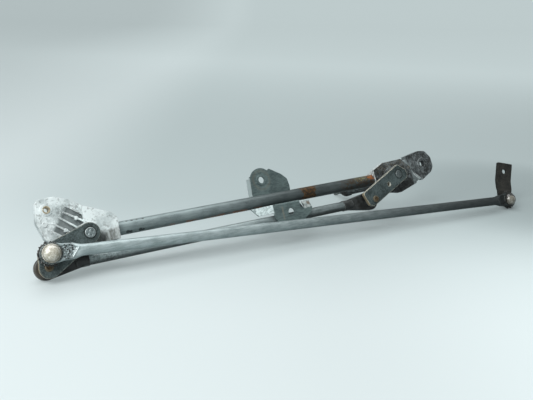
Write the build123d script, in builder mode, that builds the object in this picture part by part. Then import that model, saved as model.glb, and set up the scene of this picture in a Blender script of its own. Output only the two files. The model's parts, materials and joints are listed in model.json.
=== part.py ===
from build123d import *
from math import asin, atan2, cos, degrees, hypot, radians, sin, sqrt
import os

os.makedirs("parts", exist_ok=True)

# Driving dimensions, in millimetres and degrees
pivot_distance = 493.0        # between the two wiper pivots
rise_angle = 2.9              # the frame tube climbs to the right as the linkage lies
lean_angle = 25.0             # the pivot shafts lean out of the horizontal, towards the viewer
tube_diameter = 18.0
tube_wall = 1.5
rod_diameter = 14.0
rod_wall = 1.5
ball_diameter = 16.0
shaft_diameter = 12.0
lever_thickness = 5.0
link_radius = 63.3            # pivot to link ball, the same on both levers
link_angle = 209.4
drive_radius = 55.7           # pivot to drive ball, left lever only
drive_angle = 197.1
drive_rod_length = 783.3      # ball to ball, seen along the pivots
drive_rod_droop = 4.6
crank_radius = 52.5           # ball to motor spindle
crank_angle = 71.1
crank_rise = 6.0              # the loose crank leans towards the rod
crank_twist = 15.0            # and turns about its own length, as far as its ball joint lets it

# Heights along the pivot axis, measured from the middle of the frame tube
link_level = 11.0
lever_level = 25.0            # back face of both levers
drive_level = 45.3

# Fits
shaft_clearance = 0.05        # shaft in its bushes
ball_clearance = 0.08         # ball in its socket
face_clearance = 0.3          # between parts that turn past each other

# Radii used by more than one piece
tube_radius = tube_diameter / 2
rod_radius = rod_diameter / 2
ball_radius = ball_diameter / 2
shaft_radius = shaft_diameter / 2
bush_radius = shaft_radius + 1.5
spigot_radius = shaft_radius - 1
rivet_radius = 4.0
thread_radius = 4.0
link_eye_radius = 14.3
link_eye_half = 5.0
link_eye_fillet = 1.8
drive_eye_radius = 13.0
drive_eye_half = 2.7
crank_end_radius = 9.5
crank_thickness = 5.0
crank_joggle = 6.5
crank_width = 28.0
crank_tail = 15.0             # past the spindle hole
dome_radius = 11.0
tip_chamfer = 1.0

# Directions of the tilted frame
along = Vector(cos(radians(rise_angle)), 0, sin(radians(rise_angle)))
upright = Vector(-sin(radians(rise_angle)), 0, cos(radians(rise_angle)))
shaft_axis = Vector(0, -1, 0) * cos(radians(lean_angle)) + upright * sin(radians(lean_angle))
across = shaft_axis.cross(along)
edge_drop = sqrt(1 - shaft_axis.Z ** 2)     # how far a unit disc square to the shafts reaches down

# Directions of the crank arm: along it, across it and square to its plate
crank_flat = along * cos(radians(crank_angle)) + across * sin(radians(crank_angle))
crank_along = crank_flat * cos(radians(crank_rise)) + shaft_axis * sin(radians(crank_rise))
crank_across = (shaft_axis.cross(crank_flat) * cos(radians(crank_twist))
                - crank_along.cross(shaft_axis.cross(crank_flat)) * sin(radians(crank_twist)))
crank_axis = crank_along.cross(crank_across)

# Ball centres, seen along the pivots
link_x = link_radius * cos(radians(link_angle))
link_y = link_radius * sin(radians(link_angle))
drive_x = drive_radius * cos(radians(drive_angle))
drive_y = drive_radius * sin(radians(drive_angle))
motor_x = drive_x + drive_rod_length * cos(radians(drive_rod_droop))
motor_y = drive_y - drive_rod_length * sin(radians(drive_rod_droop))
stud_reach = drive_level - lever_level - lever_thickness


def from_left_pivot(x, y, level):
    """World vector from the left pivot to a point of the tilted frame."""
    return along * x + across * y + shaft_axis * level


# The linkage lies on the link rod's left eye, the crank's end and the tips of both shafts
link_eye_drop = ((link_eye_radius - link_eye_fillet) * edge_drop
                 + (link_eye_half - link_eye_fillet) * shaft_axis.Z + link_eye_fillet)
pivot_height = link_eye_drop - from_left_pivot(link_x, link_y, link_level).Z
crank_drop = (stud_reach + crank_thickness) * crank_axis.Z + crank_end_radius * sqrt(1 - crank_axis.Z ** 2)
motor_level = (crank_drop - pivot_height - from_left_pivot(motor_x, motor_y, 0).Z) / shaft_axis.Z
left_reach = (pivot_height - thread_radius * edge_drop) / shaft_axis.Z + tip_chamfer
right_reach = left_reach + along.Z * pivot_distance / shaft_axis.Z

# The origin is on the floor, under the middle of the outer box
left_end = from_left_pivot(link_x, link_y, link_level).X - link_eye_radius
crank_corner = (crank_along * (crank_radius + crank_tail) - crank_across * crank_width / 2
                - crank_axis * (stud_reach + crank_joggle + crank_thickness))
right_end = from_left_pivot(motor_x, motor_y, motor_level).X + crank_corner.X
front_end = from_left_pivot(motor_x, motor_y, motor_level).Y - dome_radius
back_end = (from_left_pivot(pivot_distance, 0, tip_chamfer - right_reach).Y
            + thread_radius * sqrt(1 - shaft_axis.Y ** 2))
left_foot = Vector(-(left_end + right_end) / 2, -(front_end + back_end) / 2, pivot_height)

left_pivot = Plane(origin=left_foot, x_dir=along, z_dir=shaft_axis)
right_pivot = Plane(origin=left_pivot.from_local_coords((pivot_distance, 0, 0)), x_dir=along, z_dir=shaft_axis)
drive_ball = left_pivot.from_local_coords((drive_x, drive_y, drive_level))
motor_ball = left_pivot.from_local_coords((motor_x, motor_y, motor_level))
left_link_ball = Plane(left_pivot.from_local_coords((link_x, link_y, link_level)), x_dir=along, z_dir=shaft_axis)
right_link_ball = Plane(right_pivot.from_local_coords((link_x, link_y, link_level)), x_dir=along, z_dir=shaft_axis)
rod_direction = (motor_ball - drive_ball).normalized()
rod_face = (shaft_axis - rod_direction * shaft_axis.dot(rod_direction)).normalized()
drive_rod_plane = Plane(origin=drive_ball, x_dir=rod_direction, z_dir=rod_face)
crank_plane = Plane(origin=motor_ball, x_dir=crank_along, z_dir=crank_axis)
rod_span = (motor_ball - drive_ball).length


def turned(plane):
    """Plane through the plane's own axis, for half sections: x is the radius, y runs along the axis."""
    return Plane(origin=plane.origin, x_dir=plane.x_dir, z_dir=-plane.y_dir)


def crossing(plane, x):
    """Plane square to the plane's x direction at distance x, for tubes and bent sections."""
    return Plane(origin=plane.from_local_coords((x, 0, 0)), x_dir=plane.y_dir, z_dir=plane.x_dir)


# Frame tube, open at both ends inside the castings
tube_seat = 15.0
with BuildPart() as frame_tube:
    with BuildSketch(crossing(left_pivot, tube_seat)):
        Circle(tube_radius)
        Circle(tube_radius - tube_wall, mode=Mode.SUBTRACT)
    extrude(amount=pivot_distance - 2 * tube_seat)
frame_tube.part.label = "frame_tube"
export_step(frame_tube.part, "parts/frame_tube.step")

# Shared layout of the bearing sleeves
boss_front = lever_level - 2.3 - face_clearance
boss_radius = 13.5
sleeve_radius = 11.0
sleeve_tip_radius = 10.2
block_half = 12.5
bush_length = 14.0
thread_length = 18.0
cone_length = 10.0
cap_length = 14.0
sleeve_back = thread_length + cone_length + 10.0   # shaft tip to the end of the sleeve
left_sleeve_end = -(left_reach - sleeve_back)
right_sleeve_end = -(right_reach - sleeve_back)

# Left pivot housing: a casting with a socket for the tube, a bearing sleeve and a ribbed fixing ear
ear_front = 6.0
ear_back = -5.0
left_ear_hole = (-40.4, 38.5)
ear_hole_radius = 4.75
left_rib_lines = [((-21.5, 32.5), (3.0, 16.4)), ((-27.5, 27.0), (-4.0, 7.5)), ((-37.0, 21.3), (-11.0, 1.5))]
rib_width = 2.2
rib_turn = -37.0
with BuildPart() as left_pivot_housing:
    # ear plate
    with BuildSketch(left_pivot.offset(ear_back)) as ear:
        with BuildLine():
            Polyline((4, 36.5), (-12, 47.5), (-30, 53.3), (-51.5, 52.3), (-55.3, 25), (-48, 1.5), (-32, -6), (4, -10),
                     close=True)
        make_face()
        fillet(ear.vertices().sort_by(Axis((0, 0, 0), tuple(along)))[:6], radius=8)
    extrude(amount=ear_front - ear_back)
    # pocket whose floor falls away towards the bearing, with three ribs and two ejector pads
    with BuildSketch(Plane(origin=left_pivot.from_local_coords((-27.5, 25.5, ear_front)),
                           x_dir=along * cos(radians(rib_turn)) + across * sin(radians(rib_turn)),
                           z_dir=along * sin(radians(rib_turn)) - across * cos(radians(rib_turn)))):
        with BuildLine():
            Polyline((-1, 0.2), (6, -2.6), (24, -7.5), (50, -7.5), (50, 1), (-1, 1), close=True)
        make_face()
    extrude(amount=17, both=True, mode=Mode.SUBTRACT)
    with BuildSketch(left_pivot.offset(-3)):
        for start, end in left_rib_lines:
            with Locations(((start[0] + end[0]) / 2, (start[1] + end[1]) / 2)):
                SlotOverall(hypot(end[0] - start[0], end[1] - start[1]), rib_width,
                            rotation=degrees(atan2(end[1] - start[1], end[0] - start[0])))
    extrude(amount=ear_front + 3.6)
    with BuildSketch(left_pivot.offset(-3)):
        with Locations((-6.9, 22.8), (-22.1, 9.6)):
            Circle(2.3)
    extrude(amount=ear_front + 4.6)
    # block that holds the tube
    with BuildSketch(left_pivot.offset(-block_half)):
        with BuildLine():
            Polyline((1, 36.5), (18, 29.2), (35.3, 22), (42.3, 14.5), (41.5, -13.0), (1, -13.0), close=True)
        make_face()
    extrude(amount=2 * block_half)
    # bearing boss in front, long tapered sleeve behind
    with BuildSketch(left_pivot.offset(-block_half)):
        Circle(boss_radius)
    extrude(amount=block_half + boss_front)
    with BuildSketch(left_pivot.offset(-block_half)):
        Circle(sleeve_radius + 1.5)
    with BuildSketch(left_pivot.offset(left_sleeve_end)):
        Circle(sleeve_tip_radius)
    loft()
    # raised ring and hole for the fixing bolt's sleeve, ejector boss below it
    with BuildSketch(left_pivot.offset(ear_front)):
        with Locations(left_ear_hole):
            Circle(7.5)
        with Locations((-45.5, 21.0)):
            Circle(3.2)
    extrude(amount=0.8)
    with BuildSketch(left_pivot.offset(ear_front + 2)):
        with Locations(left_ear_hole):
            Circle(ear_hole_radius)
    extrude(amount=-20, mode=Mode.SUBTRACT)
    # socket for the tube
    with BuildSketch(crossing(left_pivot, tube_seat)):
        Circle(tube_radius)
    extrude(amount=40, mode=Mode.SUBTRACT)
    # bore with a seat for a bush at each end
    with BuildSketch(left_pivot.offset(boss_front + 1)):
        Circle(shaft_radius + 0.6)
    extrude(amount=-(boss_front + 2 - left_sleeve_end), mode=Mode.SUBTRACT)
    with BuildSketch(left_pivot.offset(boss_front)):
        Circle(bush_radius)
    extrude(amount=-bush_length, mode=Mode.SUBTRACT)
    with BuildSketch(left_pivot.offset(left_sleeve_end)):
        Circle(bush_radius)
    extrude(amount=bush_length, mode=Mode.SUBTRACT)
left_pivot_housing.part.label = "left_pivot_housing"
export_step(left_pivot_housing.part, "parts/left_pivot_housing.step")

# Compression sleeve pressed into the left ear
ear_sleeve_bore = 3.2
with BuildPart() as left_ear_sleeve:
    with BuildSketch(left_pivot.offset(ear_back - 0.7)):
        with Locations(left_ear_hole):
            Circle(ear_hole_radius)
            Circle(ear_sleeve_bore, mode=Mode.SUBTRACT)
    extrude(amount=ear_front - ear_back + 2.0)
    chamfer(left_ear_sleeve.edges().filter_by(GeomType.CIRCLE).group_by(SortBy.RADIUS)[0], length=0.5)
left_ear_sleeve.part.label = "left_ear_sleeve"
export_step(left_ear_sleeve.part, "parts/left_ear_sleeve.step")

# Right pivot housing: the ear stands further out, behind a rounded neck
right_ear_hole = (77.0, 11.6)
right_ear_bore = 5.5
right_ear_half = 4.0
neck_radius = 8.0
collar_radius = 12.0
body_front = 11.0
body_step = 2.0               # the front of the body reaches out over the round collar
with BuildPart() as right_pivot_housing:
    # body round the bearing, its front wider than its back
    with BuildSketch(right_pivot.offset(body_step)) as body:
        with BuildLine():
            Polyline((-32, -12), (-32, 14.5), (-11, 23.5), (27, 25), (44, 10), (51, -18), (14, -28), (-8, -24), close=True)
        make_face()
        fillet(body.vertices().sort_by(Axis((0, 0, 0), tuple(along)))[2:], radius=3)
    extrude(amount=body_front - body_step)
    with BuildSketch(right_pivot.offset(-block_half)):
        with BuildLine():
            Polyline((-16, -18), (-16, 13), (9, 23.8), (26, 24.3), (43, 10), (49, -16.5), (15, -25), close=True)
        make_face()
    extrude(amount=block_half + body_step)
    # collar round the end of the tube
    with BuildSketch(crossing(right_pivot, -32)):
        Circle(collar_radius)
    extrude(amount=24)
    # neck and ear
    with BuildSketch(Plane(origin=right_pivot.from_local_coords((64, -13, -5.5)), x_dir=shaft_axis,
                           z_dir=along * -0.506 + across * 0.862)):
        Circle(neck_radius)
    extrude(amount=41.5)
    with BuildSketch(right_pivot.offset(-right_ear_half)) as ear:
        with BuildLine():
            Polyline((42, 28), (73, 33.5), (88, 32), (98, 20), (99, 4), (93, -4), (71, -14.5), (60, -6), close=True)
        make_face()
        fillet(ear.vertices().sort_by(Axis((0, 0, 0), tuple(along)))[3:], radius=9)
    extrude(amount=2 * right_ear_half)
    # bearing boss in front, long tapered sleeve behind
    with BuildSketch(right_pivot.offset(-block_half)):
        Circle(boss_radius)
    extrude(amount=block_half + boss_front)
    with BuildSketch(right_pivot.offset(-block_half)):
        Circle(sleeve_radius + 3)
    with BuildSketch(right_pivot.offset(right_sleeve_end)):
        Circle(sleeve_tip_radius)
    loft()
    # ring round the ear hole, and the hole
    with BuildSketch(right_pivot.offset(right_ear_half)):
        with Locations(right_ear_hole):
            Circle(9.5)
    extrude(amount=0.8)
    with BuildSketch(right_pivot.offset(right_ear_half + 2)):
        with Locations(right_ear_hole):
            Circle(right_ear_bore)
    extrude(amount=-20, mode=Mode.SUBTRACT)
    # socket for the tube
    with BuildSketch(crossing(right_pivot, -tube_seat)):
        Circle(tube_radius)
    extrude(amount=-40, mode=Mode.SUBTRACT)
    # bore with a seat for a bush at each end
    with BuildSketch(right_pivot.offset(boss_front + 1)):
        Circle(shaft_radius + 0.6)
    extrude(amount=-(boss_front + 2 - right_sleeve_end), mode=Mode.SUBTRACT)
    with BuildSketch(right_pivot.offset(boss_front)):
        Circle(bush_radius)
    extrude(amount=-bush_length, mode=Mode.SUBTRACT)
    with BuildSketch(right_pivot.offset(right_sleeve_end)):
        Circle(bush_radius)
    extrude(amount=bush_length, mode=Mode.SUBTRACT)
right_pivot_housing.part.label = "right_pivot_housing"
export_step(right_pivot_housing.part, "parts/right_pivot_housing.step")

# Middle bracket, pressed from sheet: an upper tab, a saddle behind the tube and a shelf that
# carries the lower tab in front of the link rod
sheet = 2.5
saddle_mid = tube_radius + sheet / 2
bracket_left = 250.0
bracket_right = 317.0
fold_line = 284.0
upper_hole = (270.8, 31.5)
lower_hole = (289.5, -23.5)
bracket_hole_radius = 5.0
tab_radius = 17.7
tab_back = link_level + rod_radius + 3.0
tab_mid = tab_back + sheet / 2
with BuildPart() as middle_bracket:
    # saddle and shelf in one bend
    with BuildSketch(crossing(left_pivot, bracket_left)):
        with BuildLine():
            Line((6, -saddle_mid), (0, -saddle_mid))
            RadiusArc((0, -saddle_mid), (-saddle_mid, 0), saddle_mid)
            Line((-saddle_mid, 0), (-saddle_mid, 3))
        trace(line_width=sheet)
    extrude(amount=bracket_right - bracket_left)
    with BuildSketch(crossing(left_pivot, 262)):
        with BuildLine():
            FilletPolyline((-saddle_mid, 0), (-saddle_mid, tab_mid), (-16, tab_mid), radius=2.2)
        trace(line_width=sheet)
    extrude(amount=44)
    # lower tab with its notch
    with BuildSketch(left_pivot.offset(tab_back)):
        with BuildLine():
            Polyline((261, -13), (305.7, -13), (311, -22), (325.5, -22.5), (322, -30), (311, -36.5), (300, -42),
                     (269, -40), (261, -29), close=True)
        make_face()
    extrude(amount=sheet)
    # joggle that runs back towards the tube on the left
    with BuildSketch(Plane(origin=left_pivot.from_local_coords((0, -21, 0)), x_dir=along, z_dir=-across)):
        with BuildLine():
            Polyline((265, tab_mid), (261.5, tab_mid), (240, 10), (231, 7.5))
        trace(line_width=sheet)
    extrude(amount=-11.5)
    with BuildSketch(left_pivot.offset(saddle_mid - 8)):
        with BuildLine():
            Polyline((233, -9), (243, -22), (225, -22), (225, -9), close=True)
        make_face()
    extrude(amount=12, mode=Mode.SUBTRACT)
    # lip beside the notch, folded back
    with BuildSketch(crossing(left_pivot, 313)):
        with BuildLine():
            Polyline((-26, tab_mid), (-23, tab_mid), (-12, tab_mid - 5))
        trace(line_width=sheet)
    extrude(amount=12)
    # upper tab, the right part folded back
    with BuildSketch(left_pivot.offset(-saddle_mid - sheet / 2)):
        with BuildLine():
            Polyline((bracket_left, 3), (fold_line, 3), (fold_line, 40), (bracket_left + 2.6, 38.5), close=True)
        make_face()
        with Locations(upper_hole):
            Circle(tab_radius)
        with Locations((fold_line + 10, 30)):
            Rectangle(20, 60, mode=Mode.SUBTRACT)
    extrude(amount=sheet)
    # flange turned back along the tab's left edge
    with BuildSketch(left_pivot.offset(-saddle_mid)):
        with BuildLine():
            Polyline((bracket_left, 4), (bracket_left + 2.1, 36), (bracket_left + 4.6, 36), (bracket_left + 2.5, 4), close=True)
        make_face()
    extrude(amount=-10)
    fold_axis = left_pivot.from_local_coords((fold_line, 0, sheet / 2 - saddle_mid))
    with BuildSketch(Plane(origin=fold_axis, x_dir=along * cos(radians(12)) - shaft_axis * sin(radians(12)),
                           z_dir=shaft_axis * cos(radians(12)) + along * sin(radians(12)))) as wing:
        with BuildLine():
            Polyline((-1.2, 6), (36.5, 6), (37.5, 17), (35.5, 28), (25.5, 36), (4, 46.2), (-1.2, 43), close=True)
        make_face()
        fillet(wing.vertices().sort_by(Axis((0, 0, 0), tuple(along)))[-3:], radius=5)
    extrude(amount=-sheet)
    # pressed ring round the upper hole, and both bolt holes
    with BuildSketch(left_pivot.offset(-saddle_mid + sheet / 2)):
        with Locations(upper_hole):
            Circle(8.5)
    extrude(amount=0.8, taper=30)
    with BuildSketch(left_pivot.offset(tab_back + 10)):
        with Locations(upper_hole, lower_hole):
            Circle(bracket_hole_radius)
    extrude(amount=-60, mode=Mode.SUBTRACT)
middle_bracket.part.label = "middle_bracket"
export_step(middle_bracket.part, "parts/middle_bracket.step")

# Bearings, washers, clips, caps and shafts, one set at each pivot
washer_thickness = lever_level - boss_front - face_clearance
shim_thickness = 1.0
clip_thickness = 1.2
clip_groove_radius = shaft_radius - 0.6
pivots = [("left", left_pivot, left_sleeve_end, left_reach, 6.4, 3.0),
          ("right", right_pivot, right_sleeve_end, right_reach, 5.7, 1.4)]
for side, pivot, sleeve_end, reach, stake_radius, stake_height in pivots:
    with BuildPart() as lever_side_bush:
        with BuildSketch(pivot.offset(boss_front)):
            Circle(bush_radius)
            Circle(shaft_radius + shaft_clearance, mode=Mode.SUBTRACT)
        extrude(amount=-bush_length)
    lever_side_bush.part.label = f"{side}_lever_side_bush"
    export_step(lever_side_bush.part, f"parts/{side}_lever_side_bush.step")

    with BuildPart() as arm_side_bush:
        with BuildSketch(pivot.offset(sleeve_end)):
            Circle(bush_radius)
            Circle(shaft_radius + shaft_clearance, mode=Mode.SUBTRACT)
        extrude(amount=bush_length)
    arm_side_bush.part.label = f"{side}_arm_side_bush"
    export_step(arm_side_bush.part, f"parts/{side}_arm_side_bush.step")

    with BuildPart() as thrust_washer:
        with BuildSketch(pivot.offset(lever_level)):
            Circle(11.0)
            Circle(shaft_radius, mode=Mode.SUBTRACT)
        extrude(amount=-washer_thickness)
        fillet(thrust_washer.edges().filter_by(GeomType.CIRCLE).group_by(SortBy.RADIUS)[-1], radius=0.6)
    thrust_washer.part.label = f"{side}_thrust_washer"
    export_step(thrust_washer.part, f"parts/{side}_thrust_washer.step")

    shim_front = sleeve_end - face_clearance
    clip_front = shim_front - shim_thickness
    with BuildPart() as shim:
        with BuildSketch(pivot.offset(shim_front)):
            Circle(9.0)
            Circle(shaft_radius, mode=Mode.SUBTRACT)
        extrude(amount=-shim_thickness)
    shim.part.label = f"{side}_shim"
    export_step(shim.part, f"parts/{side}_shim.step")

    with BuildPart() as circlip:
        with BuildSketch(pivot.offset(clip_front)):
            Circle(8.0)
            with Locations((0, 7.4)):
                SlotCenterToCenter(5.0, 3.2)
            Circle(clip_groove_radius, mode=Mode.SUBTRACT)
            with Locations((0, 8)):
                Rectangle(2.4, 8, mode=Mode.SUBTRACT)
        extrude(amount=-clip_thickness)
    circlip.part.label = f"{side}_circlip"
    export_step(circlip.part, f"parts/{side}_circlip.step")

    # rain cap over the end of the sleeve, its lip round the shaft
    cap_fit_radius = sleeve_tip_radius + 0.3
    with BuildPart() as rain_cap:
        with BuildSketch(turned(pivot)):
            with BuildLine():
                Polyline((cap_fit_radius, sleeve_end + 4), (sleeve_tip_radius + 1.6, sleeve_end + 4),
                         (sleeve_tip_radius + 1.6, sleeve_end - 4), (9.2, sleeve_end + 4 - cap_length),
                         (shaft_radius + face_clearance, sleeve_end + 4 - cap_length),
                         (shaft_radius + face_clearance, sleeve_end + 5.6 - cap_length),
                         (10.0, sleeve_end - 3.6), (10.0, sleeve_end), (cap_fit_radius, sleeve_end),
                         close=True)
            make_face()
        revolve(axis=Axis(pivot.origin, pivot.z_dir))
    rain_cap.part.label = f"{side}_rain_cap"
    export_step(rain_cap.part, f"parts/{side}_rain_cap.step")

    # shaft: staked head, spigot, journal, clip groove, knurled cone and threaded end
    groove_front = clip_front
    groove_back = clip_front - clip_thickness
    with BuildPart() as pivot_shaft:
        with BuildSketch(turned(pivot)):
            with BuildLine():
                Polyline((0, lever_level + lever_thickness + stake_height),
                         (stake_radius - 1.2, lever_level + lever_thickness + stake_height),
                         (stake_radius, lever_level + lever_thickness + stake_height - 1.2),
                         (stake_radius, lever_level + lever_thickness), (spigot_radius, lever_level + lever_thickness),
                         (spigot_radius, lever_level), (shaft_radius, lever_level), (shaft_radius, groove_front),
                         (clip_groove_radius, groove_front), (clip_groove_radius, groove_back),
                         (shaft_radius, groove_back), (shaft_radius, -reach + thread_length + cone_length),
                         (thread_radius + 0.9, -reach + thread_length), (thread_radius, -reach + thread_length),
                         (thread_radius, tip_chamfer - reach), (thread_radius - tip_chamfer, -reach), (0, -reach), close=True)
            make_face()
        revolve(axis=Axis(pivot.origin, pivot.z_dir))
        # four punch marks that spread the head
        with BuildSketch(pivot.offset(lever_level + lever_thickness + stake_height)):
            with PolarLocations(3.4, 4, start_angle=20):
                RectangleRounded(1.6, 2.4, 0.6)
        extrude(amount=-0.8, mode=Mode.SUBTRACT)
    pivot_shaft.part.label = f"{side}_pivot_shaft"
    export_step(pivot_shaft.part, f"parts/{side}_pivot_shaft.step")

# Left lever: narrow at the shaft, broad at the end that carries both studs
lever_end_radius = 12.5
with BuildPart() as left_lever:
    with BuildSketch(left_pivot.offset(lever_level)):
        Circle(12.8)
        with Locations((link_x + 1.0, link_y - 1.0)):
            Circle(lever_end_radius)
        with Locations((drive_x + 0.3, drive_y)):
            Circle(lever_end_radius - 0.5)
        make_hull()
        Circle(spigot_radius, mode=Mode.SUBTRACT)
        with Locations((link_x, link_y), (drive_x, drive_y)):
            Circle(rivet_radius, mode=Mode.SUBTRACT)
    extrude(amount=lever_thickness)
    outline_front = left_lever.faces().sort_by(Axis(left_pivot.origin, left_pivot.z_dir))[-1].outer_wire()
    fillet(outline_front.edges(), radius=0.8)
left_lever.part.label = "left_lever"
export_step(left_lever.part, "parts/left_lever.step")

# Right lever: a plain bar, its corners clipped
right_lever_angle = link_angle - 5.5
right_lever_half = 13.25
right_lever_tail = 16.0        # past the shaft
right_lever_nose = link_radius + 14.5
locating_hole_radius = 3.2
with BuildPart() as right_lever:
    with BuildSketch(right_pivot.offset(lever_level)):
        with BuildSketch(mode=Mode.PRIVATE) as bar:
            with BuildLine():
                Polyline((8.5 - right_lever_tail, -right_lever_half), (-right_lever_tail, 1), (-right_lever_tail, 8),
                         (5 - right_lever_tail, right_lever_half), (right_lever_nose - 6, right_lever_half),
                         (right_lever_nose, 8), (right_lever_nose, -11), (right_lever_nose - 2.5, -right_lever_half),
                         close=True)
            make_face()
            with Locations((26.5, 2)):
                Circle(locating_hole_radius, mode=Mode.SUBTRACT)
        add(bar.sketch, rotation=right_lever_angle)
        Circle(spigot_radius, mode=Mode.SUBTRACT)
        with Locations((link_x, link_y)):
            Circle(rivet_radius, mode=Mode.SUBTRACT)
    extrude(amount=lever_thickness)
right_lever.part.label = "right_lever"
export_step(right_lever.part, "parts/right_lever.step")

# Ball studs, riveted through the levers and the crank arm; y runs from the plate to the ball
link_reach = lever_level - link_level
studs = [("left_drive_stud", Plane(drive_ball, x_dir=along, z_dir=shaft_axis), stud_reach, lever_thickness),
         ("crank_stud", crank_plane, stud_reach, crank_thickness),
         ("left_link_stud", Plane(left_link_ball.origin, x_dir=along, z_dir=-shaft_axis), link_reach, lever_thickness),
         ("right_link_stud", Plane(right_link_ball.origin, x_dir=along, z_dir=-shaft_axis), link_reach, lever_thickness)]
neck_radius_stud = 4.6
flange_radius = 7.5
rivet_head_radius = 5.2
for stud_name, ball, reach, plate in studs:
    with BuildPart() as ball_stud:
        with BuildSketch(turned(ball)):
            with BuildLine():
                Polyline((0, -reach - plate - 1.8), (3.0, -reach - plate - 1.8), (rivet_head_radius, -reach - plate - 0.6),
                         (rivet_head_radius, -reach - plate), (rivet_radius, -reach - plate), (rivet_radius, -reach),
                         (flange_radius, -reach), (flange_radius, -reach + 1.6), (neck_radius_stud + 0.8, -reach + 2.4),
                         (neck_radius_stud, -reach + 3.6), (neck_radius_stud, 0), (0, 0), close=True)
            make_face()
        revolve(axis=Axis(ball.origin, ball.z_dir))
        with Locations(ball):
            Sphere(ball_radius)
    ball_stud.part.label = stud_name
    export_step(ball_stud.part, f"parts/{stud_name}.step")

# Link rod: a steel tube with a moulded ball socket plugged into each end
end_length = 51.0
plug_length = 15.0
socket_dome_radius = 10.6
mouth_radius = 7.2
with BuildPart() as link_rod:
    with BuildSketch(crossing(left_link_ball, end_length)):
        Circle(rod_radius)
        Circle(rod_radius - rod_wall, mode=Mode.SUBTRACT)
    extrude(amount=pivot_distance - 2 * end_length)
link_rod.part.label = "link_rod"
export_step(link_rod.part, "parts/link_rod.step")

facing_left = Plane(origin=right_link_ball.origin, x_dir=-along, z_dir=shaft_axis)
for end_name, eye in (("link_rod_left_end", left_link_ball), ("link_rod_right_end", facing_left)):
    with BuildPart() as rod_end:
        with BuildSketch(eye.offset(-link_eye_half)):
            Circle(link_eye_radius)
            with Locations((end_length - 12, 0)):
                Rectangle(12, 2 * rod_radius)
            make_hull()
        extrude(amount=2 * link_eye_half)
        flanks = rod_end.faces().sort_by(Axis(eye.origin, eye.z_dir))
        fillet(flanks[0].outer_wire().edges() + flanks[-1].outer_wire().edges(), radius=link_eye_fillet)
        # collar that butts against the tube, and the plug inside it
        with BuildSketch(crossing(eye, end_length - 16)):
            Circle(rod_radius + 0.8)
        extrude(amount=16)
        with BuildSketch(crossing(eye, end_length)):
            Circle(rod_radius - rod_wall)
        extrude(amount=plug_length)
        # ball pocket with a domed back and an open mouth towards the lever
        with Locations(eye):
            Sphere(socket_dome_radius)
        with BuildSketch(eye.offset(link_eye_half + 1.5)):
            Circle(socket_dome_radius + 1)
        extrude(amount=8, mode=Mode.SUBTRACT)
        with Locations(eye):
            Sphere(ball_radius + ball_clearance, mode=Mode.SUBTRACT)
        with BuildSketch(eye):
            Circle(mouth_radius)
        extrude(amount=12, mode=Mode.SUBTRACT)
    rod_end.part.label = end_name
    export_step(rod_end.part, f"parts/{end_name}.step")

# Drive rod: one tube, flattened into an eye at each end, the front wall pressed in
flat_end = 22.0
flare_end = 40.0
flat_width = 20.0
socket_seat_radius = 10.5
recess_depth = 0.9
flare = [(flat_end - 2, flat_width / 2, drive_eye_half), (25.5, 9.7, 3.3), (30, 8.4, 4.9), (35, 7.3, 6.4),
         (flare_end, rod_radius, rod_radius), (flare_end + 3, rod_radius, rod_radius)]
with BuildPart() as drive_rod:
    for start, inward in ((0, 1), (rod_span, -1)):
        for distance, half_width, half_depth in flare:
            with BuildSketch(crossing(drive_rod_plane, start + inward * distance)):
                Ellipse(half_width, half_depth)
        loft()
    with BuildSketch(crossing(drive_rod_plane, flare_end + 3)):
        Circle(rod_radius)
    extrude(amount=rod_span - 2 * flare_end - 6)
    for start, inward in ((0, 1), (rod_span, -1)):
        with BuildSketch(drive_rod_plane.offset(-drive_eye_half)):
            with Locations((start, 0)):
                Circle(drive_eye_radius)
            with Locations((start + inward * (flat_end - 4), 0)):
                Rectangle(8, flat_width)
            make_hull()
            with Locations((start, 0)):
                Circle(socket_seat_radius, mode=Mode.SUBTRACT)
        extrude(amount=2 * drive_eye_half)
        with BuildSketch(drive_rod_plane.offset(drive_eye_half - recess_depth)):
            with BuildLine():
                Polyline((start + inward * 9, -7.8), (start + inward * 9, 7.8), (start + inward * 24, 7.2),
                         (start + inward * 31, 3.6), (start + inward * 23, -7.4), close=True)
            make_face()
            with Locations((start, 0)):
                Circle(drive_eye_radius + 0.2, mode=Mode.SUBTRACT)
        extrude(amount=8, mode=Mode.SUBTRACT)
    # hollow middle
    with BuildSketch(crossing(drive_rod_plane, flare_end)):
        Circle(rod_radius - rod_wall)
    extrude(amount=rod_span - 2 * flare_end, mode=Mode.SUBTRACT)
drive_rod.part.label = "drive_rod"
export_step(drive_rod.part, "parts/drive_rod.step")

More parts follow.
